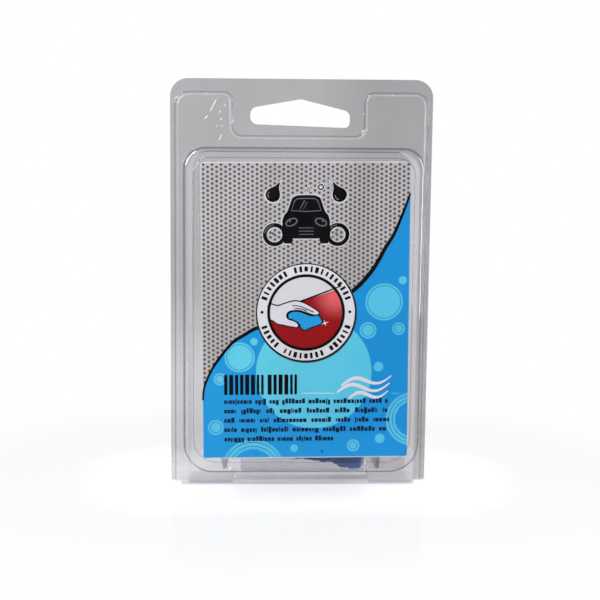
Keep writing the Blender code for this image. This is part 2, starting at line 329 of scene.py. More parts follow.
def add_object(name, data):
    """New object, linked to the scene."""
    made = bpy.data.objects.new(name, data)
    bpy.context.scene.collection.objects.link(made)
    return made


def paint(piece, material):
    """Give a piece one material in place of any it has."""
    piece.data.materials.clear()
    piece.data.materials.append(material)


def finish_mesh(name, sheet, body, materials, angle=35.0):
    """Object from a closed mesh: normals out, smooth between creases, riding on its body."""
    bmesh.ops.recalc_face_normals(sheet, faces=sheet.faces)
    mesh = to_mesh(name, sheet)
    for material in materials:
        mesh.materials.append(material)
    mesh.shade_smooth()
    mesh.set_sharp_from_angle(angle=math.radians(angle))
    piece = add_object(name, mesh)
    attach(piece, body)
    return piece


def apply_modifiers(piece):
    """Replace the mesh with what its modifiers make of it."""
    shown = piece.evaluated_get(bpy.context.evaluated_depsgraph_get())
    mesh = bpy.data.meshes.new_from_object(shown)
    piece.modifiers.clear()
    piece.data = mesh


def trim_foot(piece):
    """Cut a sheet off just above the hinge bead, then even out its shading."""
    near, far = WINDOW_FRONT - 0.002, TAB_FRONT + FACE_TO_FACE + GAP
    bottom, top = -2 * TRIM_DEPTH, FLANGE_BOTTOM
    block = bmesh.new()
    bmesh.ops.create_cube(block, size=1.0)
    size = Matrix.Diagonal((2.5 * HALF_WIDTH, far - near, top - bottom, 1.0))
    place = Matrix.Translation((0.0, (near + far) / 2, (bottom + top) / 2))
    bmesh.ops.transform(block, matrix=place @ size, verts=block.verts)
    cutter = add_object("trim_block", to_mesh("trim_block", block))
    cut = piece.modifiers.new("trim", "BOOLEAN")
    cut.operation = "DIFFERENCE"
    cut.solver = "EXACT"
    cut.object = cutter
    apply_modifiers(piece)
    bpy.data.objects.remove(cutter)
    piece.data.set_sharp_from_angle(angle=math.radians(50))
    even = piece.modifiers.new("even_shading", "WEIGHTED_NORMAL")
    even.keep_sharp = True
    even.weight = 100
    apply_modifiers(piece)


# ---- materials


def new_material(name):
    """Empty node material and its tree."""
    material = bpy.data.materials.new(name)
    material.use_nodes = True
    material.node_tree.nodes.clear()
    return material, material.node_tree


def add_node(tree, kind, inputs=None, **settings):
    """New node with its settings, and its inputs set to values or linked to sockets."""
    made = tree.nodes.new("ShaderNode" + kind)
    for key, value in settings.items():
        setattr(made, key, value)
    for key, value in (inputs or {}).items():
        if isinstance(value, bpy.types.NodeSocket):
            tree.links.new(value, made.inputs[key])
        else:
            made.inputs[key].default_value = value
    return made


def add_output(tree, kind, inputs=None):
    """New node's first output."""
    return add_node(tree, kind, inputs).outputs[0]


def add_maths(tree, operation, first, second=0.0, third=0.0):
    """Output of one Math node."""
    inputs = {0: first, 1: second, 2: third}
    return add_node(tree, "Math", inputs, operation=operation).outputs[0]


def add_noise(tree, place, scale, detail=3.0, roughness=0.5, distortion=0.0):
    """Grey output of a noise texture read at a place."""
    inputs = {
        "Vector": place, "Scale": scale, "Detail": detail, "Roughness": roughness,
        "Distortion": distortion,
    }
    return add_node(tree, "TexNoise", inputs).outputs["Fac"]


def add_range(tree, value, low, high, to_low, to_high, kind="LINEAR"):
    """Value moved from one range to another and held inside it."""
    inputs = {
        "Value": value, "From Min": low, "From Max": high, "To Min": to_low, "To Max": to_high,
    }
    return add_node(tree, "MapRange", inputs, interpolation_type=kind).outputs["Result"]


def add_ease(tree, value, low, high, to_low, to_high):
    """Value moved from one range to another with soft ends."""
    return add_range(tree, value, low, high, to_low, to_high, "SMOOTHSTEP")


def add_blend(tree, share, first, second, kind="MIX"):
    """Colour mixed from two colours or colour sockets."""
    made = add_node(
        tree, "Mix", {0: share, 6: first, 7: second}, data_type="RGBA", blend_type=kind)
    return made.outputs[2]


def add_mix(tree, share, first, second):
    """Shader mixed from two, by the share of the second."""
    return add_output(tree, "MixShader", {0: share, 1: first, 2: second})


def add_grey(tree, level):
    """Grey colour of one level."""
    return add_output(tree, "CombineColor", {0: level, 1: level, 2: level})


def linear(red, green, blue):
    """Linear colour from 0 to 255 display values."""
    def curve(value):
        value /= 255
        return value / 12.92 if value <= 0.04045 else ((value + 0.055) / 1.055) ** 2.4
    return (curve(red), curve(green), curve(blue), 1.0)


def place_of(tree):
    """Object coordinates, in metres, because every piece's origin is the frame's."""
    return add_node(tree, "TexCoord").outputs["Object"]


def stretched(tree, place, scale, turn=(0.0, 0.0, 0.0)):
    """Coordinates scaled and turned, for streaks and scratches."""
    inputs = {"Vector": place, "Scale": scale, "Rotation": turn}
    return add_node(tree, "Mapping", inputs).outputs["Vector"]


# Painted light on the back sheet: it lets the most through at its lower left. That fades out
# across to the right, where this share is left, and up to nothing; painted shade dims the
# right-hand side to the last value instead.
PAINTED_LIGHT_ACROSS = (-0.040, 0.020)
PAINTED_LIGHT_REMAINING = 0.3
PAINTED_LIGHT_UP = (0.040, 0.090)
PAINTED_SHADE_ACROSS = (0.0, 0.035)
PAINTED_SHADE_LEVEL = 0.93


def clear_plastic(name, tint, shade, haze, wave, rim=0.45, crease=0.0, painted_light=0.0):
    """Clear formed sheet: tinted straight-through view, mirror gloss, faint haze and scuffs.

    tint is what one face lets through, shade what it lets through at a grazing angle, haze how
    milky it is, wave the height of its waves in metres, rim how much more it mirrors at a
    grazing angle, crease the share of sharp folds, and painted_light how much painted light makes
    it clearer at the lower left, with painted shade dimming its right-hand side.
    """
    material, tree = new_material(name)
    place = place_of(tree)
    waves = add_noise(tree, place, 55.0, 2.0, 0.45)
    pull = add_noise(tree, stretched(tree, place, (220.0, 220.0, 70.0)), 1.0, 3.0)
    height = add_maths(tree, "MULTIPLY_ADD", pull, 0.12, waves)
    if crease:
        folds = add_node(tree, "TexVoronoi", {"Vector": place, "Scale": 150.0}, feature="F1")
        height = add_maths(tree, "MULTIPLY_ADD", folds.outputs["Distance"], crease, height)
    bump = add_node(tree, "Bump", {"Strength": 1.0, "Distance": wave, "Height": height})
    normal = bump.outputs["Normal"]
    facing = add_node(tree, "LayerWeight", {"Blend": 0.5, "Normal": normal}).outputs["Facing"]
    cloud = add_noise(tree, place, 26.0, 4.0, 0.6)
    tone = add_range(tree, cloud, 0.3, 0.7, 0.97, 1.0)
    # Painted light and shade: the sheet lets more through at its lower left and less on its
    # right-hand side
    if painted_light:
        parts = add_node(tree, "SeparateXYZ", {0: place}).outputs
        left = add_ease(tree, parts["X"], *PAINTED_LIGHT_ACROSS, 1.0, PAINTED_LIGHT_REMAINING)
        low = add_ease(tree, parts["Z"], *PAINTED_LIGHT_UP, 1.0, 0.0)
        right = add_ease(tree, parts["X"], *PAINTED_SHADE_ACROSS, 1.0, PAINTED_SHADE_LEVEL)
        painted_light_share = add_maths(tree, "MULTIPLY", left, low)
        painted_light_and_shade = add_maths(tree, "MULTIPLY_ADD", painted_light_share, painted_light, right)
        tone = add_maths(tree, "MULTIPLY", tone, painted_light_and_shade)
    edge = add_maths(tree, "POWER", facing, 1.3)
    face_colour = add_blend(tree, edge, (*tint, 1.0), (*shade, 1.0))
    through = add_blend(tree, 1.0, face_colour, add_grey(tree, tone), "MULTIPLY")
    clear = add_output(tree, "BsdfTransparent", {"Color": through})
    along = stretched(tree, place, (500.0, 500.0, 16.0), (0.0, 0.45, 0.0))
    scuffs = add_range(tree, add_noise(tree, along, 1.0, 2.0), 0.68, 0.78, 0.0, haze * 1.5)
    dull = add_maths(tree, "MULTIPLY_ADD", cloud, haze, scuffs)
    milky = add_output(tree, "BsdfDiffuse", {"Color": (0.93, 0.93, 0.95, 1.0)})
    body = add_mix(tree, dull, clear, milky)
    rough = add_range(tree, cloud, 0.3, 0.8, 0.03, 0.10)
    gloss = add_output(tree, "BsdfGlossy", {"Roughness": rough, "Normal": normal})
    grazing = add_maths(tree, "POWER", facing, 5.0)
    mirror = add_maths(tree, "MULTIPLY_ADD", grazing, rim, 0.03)
    add_node(tree, "OutputMaterial", {"Surface": add_mix(tree, mirror, body, gloss)})
    return material


def ink(name, colour, spread=0.06, rough=0.30, coat=0.1):
    """Printed ink under a thin varnish, slightly uneven, on smooth board."""
    material, tree = new_material(name)
    place = place_of(tree)
    broad = add_noise(tree, place, 38.0, 3.0, 0.55)
    grain = add_noise(tree, place, 2600.0, 2.0, 0.6)
    light = tuple(min(c * (1 + spread), 1.0) for c in colour[:3]) + (1.0,)
    dark = tuple(c * (1 - spread) for c in colour[:3]) + (1.0,)
    share = add_maths(tree, "MULTIPLY_ADD", grain, 0.35, add_maths(tree, "MULTIPLY", broad, 0.65))
    painted = add_blend(tree, add_range(tree, share, 0.3, 0.7, 0.0, 1.0), dark, light)
    gloss = add_range(tree, broad, 0.3, 0.7, rough - 0.05, rough + 0.07)
    bump = add_node(tree, "Bump", {"Strength": 0.25, "Distance": 0.00001, "Height": grain})
    shader = add_node(tree, "BsdfPrincipled", {
        "Base Color": painted, "Roughness": gloss, "Normal": bump.outputs["Normal"],
        "Specular IOR Level": 0.25, "Coat Weight": coat, "Coat Roughness": 0.12,
    })
    add_node(tree, "OutputMaterial", {"Surface": shader.outputs[0]})
    return material, tree, shader, painted


def plain_ink(name, *display, **settings):
    """Ink in one display colour."""
    return ink(name, linear(*display), **settings)[0]


def metal_ink():
    """Brushed sheet metal in print: pale grey with soft upright bands and fine brushing."""
    material, tree, shader, painted = ink("ink_sheet_metal", linear(213, 210, 207), 0.03)
    place = place_of(tree)
    bands = add_noise(tree, stretched(tree, place, (48.0, 1.0, 9.0), (0.0, 0.12, 0.0)), 1.0, 1.5)
    brushing = add_noise(tree, stretched(tree, place, (1900.0, 1.0, 60.0)), 1.0, 2.0)
    low = add_ease(tree, bands, 0.40, 0.58, 0.0, 1.0)
    toned = add_blend(tree, low, linear(200, 197, 188), painted)
    line = add_range(tree, brushing, 0.3, 0.7, 0.94, 1.03)
    final = add_blend(tree, 1.0, toned, add_grey(tree, line), "MULTIPLY")
    tree.links.new(final, shader.inputs["Base Color"])
    return material


def gradient_ink(name, first, second, centre, near, far, **settings):
    """Ink that turns from one display colour to another with distance from a point."""
    material, tree, shader, painted = ink(name, linear(*first), **settings)
    place = place_of(tree)
    away = add_node(tree, "VectorMath", {0: place, 1: centre}, operation="DISTANCE")
    share = add_ease(tree, away.outputs["Value"], near, far, 0.0, 1.0)
    final = add_blend(tree, share, painted, linear(*second))
    tree.links.new(final, shader.inputs["Base Color"])
    return material


def board_material():
    """Uncoated white board, for the card's body and edges."""
    material, tree, shader, _ = ink("board_white", linear(232, 233, 235), 0.02, 0.5, 0.05)
    place = place_of(tree)
    fibres = add_noise(tree, stretched(tree, place, (900.0, 900.0, 3200.0)), 1.0, 4.0)
    bump = add_node(tree, "Bump", {"Strength": 0.4, "Distance": 0.00002, "Height": fibres})
    tree.links.new(bump.outputs["Normal"], shader.inputs["Normal"])
    return material


def clay_material():
    """Kneaded navy clay: uneven blue, dull with a few waxy patches, finely pitted."""
    material, tree = new_material("clay_navy")
    place = place_of(tree)
    broad = add_noise(tree, place, 60.0, 4.0, 0.6, 0.4)
    fine = add_noise(tree, place, 900.0, 3.0, 0.6)
    share = add_range(tree, broad, 0.32, 0.68, 0.0, 1.0)
    colour = add_blend(tree, share, linear(52, 78, 124), linear(88, 120, 172))
    rough = add_range(tree, broad, 0.3, 0.7, 0.38, 0.62)
    height = add_maths(tree, "MULTIPLY_ADD", fine, 0.3, broad)
    bump = add_node(tree, "Bump", {"Strength": 0.6, "Distance": 0.0003, "Height": height})
    shader = add_node(tree, "BsdfPrincipled", {
        "Base Color": colour, "Roughness": rough, "Normal": bump.outputs["Normal"],
        "Subsurface Weight": 0.05, "Subsurface Scale": 0.002,
    })
    add_node(tree, "OutputMaterial", {"Surface": shader.outputs[0]})
    return material


# ---- thin shells


FRONT_CLEAR = clear_plastic(
    "clear_front", (0.925, 0.924, 0.93), (0.44, 0.43, 0.53), 0.0015, 0.00004, 0.15)
# The back sheet carries painted light at its lower left and painted shade on its right-hand side
BACK_CLEAR = clear_plastic(
    "clear_back", (0.785, 0.781, 0.785), (0.90, 0.90, 0.915), 0.003, 0.00004, 0.10,
    painted_light=0.16)
WALL_CLEAR = clear_plastic(
    "clear_back_wall", (0.95, 0.95, 0.955), (0.88, 0.88, 0.90), 0.003, 0.00004, 0.10)

SCUFF_AND_GLINT_DEPTH = 0.00002
# Across, up, length and turn in degrees of each rub mark and painted glint; the rub marks'
# whiteness is partly painted glint
SCUFFS_AND_PAINTED_GLINTS = (
    (-0.0350, 0.1546, 0.0056, 62), (-0.0379, 0.1498, 0.0024, 46), (-0.0304, 0.1547, 0.0007, 60),
    (-0.0324, 0.1519, 0.0012, 60), (-0.0320, 0.1492, 0.0011, 70), (-0.0335, 0.1464, 0.0006, 0),
    (-0.0316, 0.1464, 0.0007, 40), (-0.0322, 0.1420, 0.0030, 64), (-0.0274, 0.1480, 0.0018, 48),
    (0.0243, 0.1516, 0.0007, 60), (-0.03785, 0.1592, 0.0006, 0), (0.03584, 0.1590, 0.0006, 0),
)


def add_side(sheet, flange, steps):
    """One side of a formed sheet: flange, hang slot and nested steps, with flats between."""
    edge = add_ring(sheet, rounded_outline(flange_corners()), flange)
    hole = add_ring(sheet, rounded_outline(hole_corners()), flange)
    rings = [add_step(sheet, *step) for step in steps]
    add_region(sheet, edge, rings[0][0], hole)
    for (_, inside), (outside, _) in zip(rings, rings[1:]):
        add_region(sheet, inside, outside)
    add_region(sheet, rings[-1][1])
    return edge, hole


def join_sides(sheet, borders):
    """Cut edges between the two sides of a sheet, round its flange and its hang slot."""
    for outer, inner in zip(*borders):
        add_wall(sheet, outer, inner)


def make_front_shell():
    """Front half: hang tab, pad, frame step, ledge and window in one formed sheet."""
    sheet = bmesh.new()
    borders = []
    for move, small, large, rim in (
        (0.0, 0.0001, 0.0002, 0.0014), (SHEET_SHOWN, 0.0002, 0.0001, 0.0009),
    ):
        tab, pad_flat, ledge, glass = (
            depth + move for depth in (TAB_FRONT, PAD_FRONT, LEDGE_FRONT, WINDOW_FRONT))
        pad = inset(pad_corners(), move)
        raised = inset(frame_corners(), move)
        window = inset(window_corners(), move)
        borders.append(add_side(sheet, tab, (
            (pad, tab, inset(pad, STEP_DRAFT), pad_flat, small, large),
            (raised, pad_flat, inset(raised, FRAME_DRAFT), ledge, 2 * small, rim),
            (window, ledge, inset(window, STEP_DRAFT), glass, small, large),
        )))
    join_sides(sheet, borders)
    shell = finish_mesh("front_sheet", sheet, "front_half", [FRONT_CLEAR], 50.0)
    trim_foot(shell)
    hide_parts("front_shell")


def make_back_shell():
    """Back half: nests behind the front flange, with the cavity, feet, arch and bay rib."""
    sheet = bmesh.new()
    borders = []
    for move, pad_fillets, mouth_fillets, rib_fillets in (
        (0.0, (0.00045, 0.0002), (0.0006, 0.0012), (0.0009, 0.0003)),
        (SHEET_SHOWN, (0.0002, 0.0004), (0.0010, 0.0008), (0.0005, 0.0007)),
    ):
        tab = TAB_FRONT + FACE_TO_FACE - move
        flat = PAD_FRONT + FACE_TO_FACE - move
        floor = PACK_BACK - move
        pad = inset(pad_corners(), FACE_TO_FACE - move)
        mouth = inset(cavity_corners(0.0, 0.0), move)
        bottom = inset(cavity_corners(CAVITY_DRAFT, ARCH_DRAFT), move)
        groove = inset(rib_corners(RIB_MOUTH), -move)
        nose = inset(rib_corners(RIB_NOSE), -move)
        borders.append(add_side(sheet, tab, (
            (pad, tab, inset(pad, STEP_DRAFT), flat, *pad_fillets),
            (mouth, flat, bottom, floor, *mouth_fillets),
            (groove, floor, nose, RIB_FRONT - move, *rib_fillets),
        )))
    join_sides(sheet, borders)
    shell = finish_mesh(
        "back_sheet", sheet, "back_half", [BACK_CLEAR, WALL_CLEAR], 50.0)
    trim_foot(shell)
    for face in shell.data.polygons:
        face.material_index = 1 if abs(face.normal.y) < 0.5 else 0
    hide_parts("back_shell")


def make_scuffs_and_painted_glints():
    """Rub marks on the pad's upper left, white partly as painted glint, and painted glints at its
    two press marks.
    """
    # White marks: scuffs, and painted glints that stand in for highlights
    material, tree = new_material("scuff_and_painted_glint_white")
    grain = add_noise(tree, place_of(tree), 2400.0, 2.0)
    colour = add_blend(tree, grain, linear(250, 250, 252), linear(226, 228, 234))
    lit = add_output(tree, "BsdfDiffuse", {"Color": colour})
    glowing = add_output(tree, "BsdfTranslucent", {"Color": colour})
    clear = add_output(tree, "BsdfTransparent")
    patchy = add_range(tree, grain, 0.35, 0.55, 0.25, 0.85)
    mixed = add_mix(tree, patchy, clear, add_mix(tree, 0.4, lit, glowing))
    add_node(tree, "OutputMaterial", {"Surface": mixed})
    sheet = bmesh.new()
    depth = PAD_FRONT - SCUFF_AND_GLINT_DEPTH
    for x, z, length, turn in SCUFFS_AND_PAINTED_GLINTS:
        half, half_width = length / 2, min(length * 0.22, 0.00017)
        mark = [(a * half, b * half_width) for a, b in circle(ORIGIN, 1.0, 14)]
        outline = moved(mark, (x, z), turn)
        near = add_ring(sheet, outline, depth)
        far = add_ring(sheet, outline, depth - SCUFF_AND_GLINT_DEPTH)
        add_wall(sheet, near, far)
        sheet.faces.new(near)
        sheet.faces.new(far)
    finish_mesh("pad_scuffs_and_painted_glints", sheet, "front_half", [material])


make_front_shell()
make_back_shell()
make_scuffs_and_painted_glints()


# ---- printed card


# Distance between print layers, and thickness of each
LAYER = 0.000014
PRINT = 0.00001


class Print:
    """Thin raised prints on one side of the card, gathered into one mesh by ink.

    Outlines and paths are in millimetres from an origin on the card; a level counts layers up.
    """

    def __init__(self, name, origin=ORIGIN, faces_front=True):
        self.name = name
        self.origin = origin
        self.sheet = bmesh.new()
        self.inks = []
        self.side = -1 if faces_front else 1
        self.base = CARD_FRONT if faces_front else CARD_BACK

    def place(self, a, b):
        """Where a point of the artwork lies across and up in the frame."""
        a += self.origin[0]
        b += self.origin[1]
        cosine, sine = math.cos(CARD_TILT), math.sin(CARD_TILT)
        return (
            CARD_MIDDLE.x + (a * cosine + b * sine) * MM,
            CARD_MIDDLE.y + (-a * sine + b * cosine) * MM,
        )

    def colour(self, faces, material):
        """Give the faces the slot of their ink."""
        if material not in self.inks:
            self.inks.append(material)
        for face in faces:
            face.material_index = self.inks.index(material)

    def depths(self, level):
        """Depths of a layer's lower and upper face."""
        near = self.base + self.side * (level * LAYER - LAYER * 0.2)
        return near, near + self.side * PRINT

    def shape(self, level, material, *loops):
        """Flat patch inside the first outline and outside the others."""
        near, far = self.depths(level)
        rings = []
        faces = []
        for depth in (near, far):
            rings.append([
                add_ring(self.sheet, [self.place(a, b) for a, b in loop], depth)
                for loop in loops
            ])
        for low, high in zip(*rings):
            faces += add_wall(self.sheet, low, high)
        for side in rings:
            if len(side) == 1 and self.is_convex(loops[0]):
                faces.append(self.sheet.faces.new(side[0]))
            else:
                faces += add_region(self.sheet, *side)
        self.colour(faces, material)

    @staticmethod
    def is_convex(loop):
        """Whether an outline turns one way only."""
        spots = [Vector(point) for point in loop]
        turns = [
            (spots[k - 1] - spots[k - 2]).cross(spots[k] - spots[k - 1])
            for k in range(len(spots))
        ]
        return min(turns) >= -1e-9 or max(turns) <= 1e-9

    def ribbon(self, level, material, path, widths, closed=False, start=None):
        """Stroke along a path: one width, one at each end, or a width for each share of it.

        start is the way across the stroke's first end, if it isn't square to the path.
        """
        near, far = self.depths(level)
        spots = [Vector(point) for point in path]
        count = len(spots)
        if not callable(widths):
            first, last = widths if isinstance(widths, tuple) else (widths, widths)
            widths = lambda share: first + (last - first) * share
        sections = []
        for index, spot in enumerate(spots):
            before = spots[index - 1] if closed or index else spot
            after = spots[(index + 1) % count] if closed or index < count - 1 else spot
            along = (after - before).normalized()
            across = Vector(start) if start and index == 0 else Vector((-along.y, along.x))
            half = across * widths(index / (count - 1)) / 2
            left, right = self.place(*(spot + half)), self.place(*(spot - half))
            sections.append([
                self.sheet.verts.new((x, depth, z))
                for (x, z), depth in ((left, near), (right, near), (right, far), (left, far))
            ])
        ends = [] if closed else [sections[0], sections[-1]]
        faces = [self.sheet.faces.new(end) for end in ends]
        for low, high in zip(sections, sections[1:] + (sections[:1] if closed else [])):
            faces += add_wall(self.sheet, low, high)
        self.colour(faces, material)

    def finish(self):
        """Piece made of all the prints."""
        finish_mesh(self.name, self.sheet, "front_half", self.inks, 30.0)


def bar(left, right, bottom, top, radius, steps=2):
    """Outline of a bar with one radius at all its corners."""
    return rounded_outline(rectangle(left, right, bottom, top, radius, radius), steps)


def keep_inside(loop, low, high):
    """Outline cut off at the sides of an upright box."""
    for axis, bound, sign in ((0, low[0], 1), (0, high[0], -1), (1, low[1], 1), (1, high[1], -1)):
        kept = []
        for index, point in enumerate(loop):
            last = loop[index - 1]
            is_in = (point[axis] - bound) * sign >= 0
            was_in = (last[axis] - bound) * sign >= 0
            if is_in != was_in:
                share = (bound - last[axis]) / (point[axis] - last[axis])
                kept.append(Vector(last) + (Vector(point) - Vector(last)) * share)
            if is_in:
                kept.append(Vector(point))
        loop = kept
    return loop


# Lower left and upper right corners of the printed area
PRINT_LOW = (-41.5, -60.05)
PRINT_HIGH = (41.6, 60.1)


def band(centre, outer, inner, start, sweep, steps=40):
    """Part of a flat ring, cut off at the print's border."""
    loop = circle(centre, outer, steps, start, sweep)
    loop += reversed(circle(centre, inner, steps, start, sweep))
    return keep_inside(loop, PRINT_LOW, PRINT_HIGH)


METAL = metal_ink()
HOLE_INK = plain_ink("ink_perforation", 98, 90, 86, spread=0.12)
BLACK_INK = plain_ink("ink_black", 12, 13, 15, spread=0.2, rough=0.28)
GREY_INK = plain_ink("ink_mid_grey", 118, 118, 120)
PALE_INK = plain_ink("ink_pale_grey", 240, 242, 238, spread=0.02)
WHITE_INK = plain_ink("ink_white", 248, 249, 246, spread=0.02)
BLUE_INK = gradient_ink(
    "ink_blue", (34, 174, 240), (24, 166, 236), (-0.038, -0.011, 0.02), 0.01, 0.07)
SKY_INK = gradient_ink(
    "ink_light_blue", (110, 232, 255), (98, 222, 250), (-0.012, -0.011, 0.06), 0.01, 0.05)
RIM_INK = plain_ink("ink_bright_blue", 96, 214, 255)
DEEP_INK = plain_ink("ink_deep_blue", 24, 134, 204)
NAVY_INK = plain_ink("ink_navy", 14, 38, 76, spread=0.15)
SHADE_INK = plain_ink("ink_shadow", 60, 66, 74, spread=0.1)
RED_INK = gradient_ink(
    "ink_red", (250, 112, 112), (170, 12, 20), (0.0143, -0.011, 0.0792), 0.001, 0.011)
CLAY_INK = plain_ink("ink_clay_blue", 36, 174, 238)
HAND_INK = plain_ink("ink_glove", 242, 242, 242, spread=0.02)

# Border between the metal and the blue, from the upper right to the lower left
CURVE = [
    (41.6, 48.0), (38.9, 40.4), (35.2, 31.5), (31.9, 26.1), (29.3, 21.2), (25.8, 15.8),
    (19.0, 8.6), (9.0, 3.0), (-6.0, -2.2), (-19.2, -6.2), (-25.0, -9.4), (-30.0, -12.9),
    (-36.9, -21.8), (-40.7, -30.0), (-41.5, -36.0),
]
# Middles of the ringed picture and of the emblem
ROUNDEL = (0.15, -0.2)
EMBLEM = (0.1, 40.0)


def print_background():
    """Perforated metal above, blue below, and the black curve between them."""
    area = Print("card_background")
    (left, bottom), (right, top) = PRINT_LOW, PRINT_HIGH
    area.shape(0, METAL, bar(left, right, bottom, top, 1.0, ARC_STEPS))
    curve = smooth_path(CURVE, steps=5)
    corners = circle((left + 1, bottom + 1), 1.0, 6, 180, 90)
    corners += circle((right - 1, bottom + 1), 1.0, 6, 270, 90)
    area.shape(2, BLUE_INK, curve + corners)
    area.ribbon(5, BLACK_INK, curve, lambda share: 0.7 + 1.0 * math.sin(math.pi * share**0.8),
                start=(-1.0, 0.0))
    area.finish()
    return curve


def print_perforation(curve):
    """Staggered rows of dark dots, left out where the blue or the roundel hides them."""
    dots = Print("card_perforation")
    across, pitch, radius, kept_clear = 1.77, 1.87, 0.57, 18.5
    for column in range(-23, 24):
        a = column * across
        foot = min(curve, key=lambda point: abs(point[0] - a))[1] + 0.2
        for row in range(-34, 34):
            b = 0.45 + (row + 0.5 * (column % 2)) * pitch
            if b < foot or b > PRINT_HIGH[1] - radius - 0.1:
                continue
            if math.hypot(a - ROUNDEL[0], b - ROUNDEL[1]) < kept_clear:
                continue
            dots.shape(1, HOLE_INK, circle((a, b), radius, 10))
    dots.finish()


def print_bubbles():
    """Tone-on-tone disc, rings and soap bubbles in the blue."""
    tone = Print("card_bubbles")
    tone.shape(3, SKY_INK, circle((3.4, -24.7), 23.4, 72))
    for centre, outer, inner, start, sweep in (
        ((44.0, -44.5), 11.2, 7.4, 90, 180), ((-21.3, -65.4), 12.8, 8.8, 0, 180),
    ):
        tone.shape(3, SKY_INK, band(centre, outer, inner, start, sweep))
        for radius in (outer - 0.25, inner + 0.25):
            tone.shape(4, RIM_INK, band(centre, radius + 0.3, radius - 0.3, start, sweep))
        tone.shape(4, DEEP_INK, band(centre, outer - 1.0, outer - 1.3, start, sweep))
        tone.shape(4, DEEP_INK, band(centre, inner + 1.3, inner + 1.0, start, sweep))
    for a, b, radius in (
        (31.6, 4.0, 7.6), (25.2, -7.6, 3.4), (37.6, -7.0, 2.6), (39.0, 12.8, 1.7),
        (-26.6, -18.4, 6.2), (-34.6, -27.4, 2.6), (-20.8, -12.0, 1.6), (29.6, -22.6, 2.0),
        (-36.4, -47.4, 3.2), (30.4, -52.6, 2.0), (19.6, -55.4, 2.6), (-4.6, -56.4, 1.6),
    ):
        tone.shape(3, SKY_INK, circle((a, b), radius, 40))
        tone.ribbon(4, RIM_INK, circle((a, b), radius - 0.2, 40), 0.42, closed=True)
        if radius > 2.2:
            tone.ribbon(4, DEEP_INK, circle((a, b), radius - 0.95, 40), 0.26, closed=True)
            shine = circle((a, b), radius * 0.62, 12, 105, 60)
            tone.ribbon(4, RIM_INK, shine, (0.3, 0.5))
    tone.ribbon(4, RIM_INK, [(34.8, -33.6), (38.2, -33.9)], 0.35)
    tone.finish()


def print_emblem():
    """Car seen from the front, between water drops and soap rings."""
    badge = Print("card_emblem", EMBLEM)
    outline = mirrored([
        (0.0, 7.3), (3.6, 7.15), (5.6, 6.2), (6.7, 3.0), (7.6, 0.6), (8.9, -0.9), (9.5, -3.0),
        (9.5, -8.0), (9.1, -9.2), (8.8, -12.2), (5.6, -12.2), (5.3, -10.2), (0.0, -10.2),
    ])
    middle = 2.4
    wider = [(a * 1.055, (b + middle) * 1.05 - middle) for a, b in outline]
    badge.shape(5, PALE_INK, wider)
    badge.shape(6, BLACK_INK, outline)
    glass = mirrored([(0.0, 5.9), (3.4, 5.8), (4.5, 5.1), (5.9, 1.0), (0.0, 0.7)])
    badge.ribbon(7, GREY_INK, glass, 0.42, closed=True)
    badge.ribbon(7, GREY_INK, [(-2.6, 1.6), (-0.6, 5.0)], (0.3, 0.5))
    badge.ribbon(7, GREY_INK, [(-1.2, 1.6), (0.4, 4.4)], (0.2, 0.3))
    lamp = [(a * 2.3, b * 1.35) for a, b in circle(ORIGIN, 1.0, 28)]
    drop = smooth_path(mirrored([
        (0.0, 4.6), (0.9, 2.4), (2.5, 0.2), (2.9, -1.8), (1.8, -3.5), (0.0, -4.1),
    ]), True, 5)
    for side in (-1, 1):
        badge.ribbon(
            7, GREY_INK, moved(lamp, (5.9 * side, -3.6), -22 * side), 0.5, closed=True)
        badge.shape(7, GREY_INK, circle((6.5 * side, -3.2), 0.42, 14))
        place, turn = (12.7 * side, 8.4), 28 * side
        badge.shape(4, PALE_INK, moved(drop, place, turn, 1.16))
        badge.shape(5, BLACK_INK, moved(drop, place, turn))
        shine = circle((0.0, -1.3), 1.9, 10, 150 if side > 0 else 165, 80)
        badge.ribbon(6, GREY_INK, moved(shine, place, turn), (0.35, 0.6))
        a, b = 12.6 * side, -8.6
        badge.shape(4, PALE_INK, circle((a, b), 5.1, 44), circle((a, b), 2.7, 36))
        badge.shape(5, BLACK_INK, circle((a, b), 4.7, 44), circle((a, b), 3.05, 36))
        badge.ribbon(6, GREY_INK, circle((a, b), 3.95, 14, 95, 75), (0.3, 0.55))
        badge.shape(6, GREY_INK, circle((a - 0.6, b + 0.5), 0.55, 14))
        badge.shape(6, GREY_INK, circle((a + 0.9, b - 0.7), 0.32, 12))
    for rise in (-5.9, -7.2, -8.5):
        badge.ribbon(7, GREY_INK, [(-2.9, rise), (2.9, rise)], 0.32)
    for a, b, radius in ((5.8, 10.4, 1.25), (0.9, 9.4, 0.8), (8.4, 12.6, 0.65)):
        badge.shape(4, PALE_INK, circle((a, b), radius + 0.35, 28))
        badge.shape(5, BLACK_INK, circle((a, b), radius, 28), circle((a, b), radius * 0.55, 20))
    badge.finish()


def print_ring_words(seal, middle, words):
    """Blocks round the ring in place of words, centred on an angle; a word is its length."""
    radius, step = 17.75, 7.05
    angle = middle + step * (sum(words) + len(words) - 2) / 2
    chance = random.Random(5)
    for word in words:
        for _ in range(word):
            tall = 2.4 if chance.random() < 0.8 else 2.0
            wide = chance.choice((0.8, 1.05, 1.25, 1.4))
            block = bar(-wide / 2, wide / 2, -tall / 2, tall / 2, 0.18)
            spot = circle(ORIGIN, radius, 1, angle)[0]
            seal.shape(9, BLACK_INK, moved(block, spot, angle - 90))
            angle -= step
        angle -= step


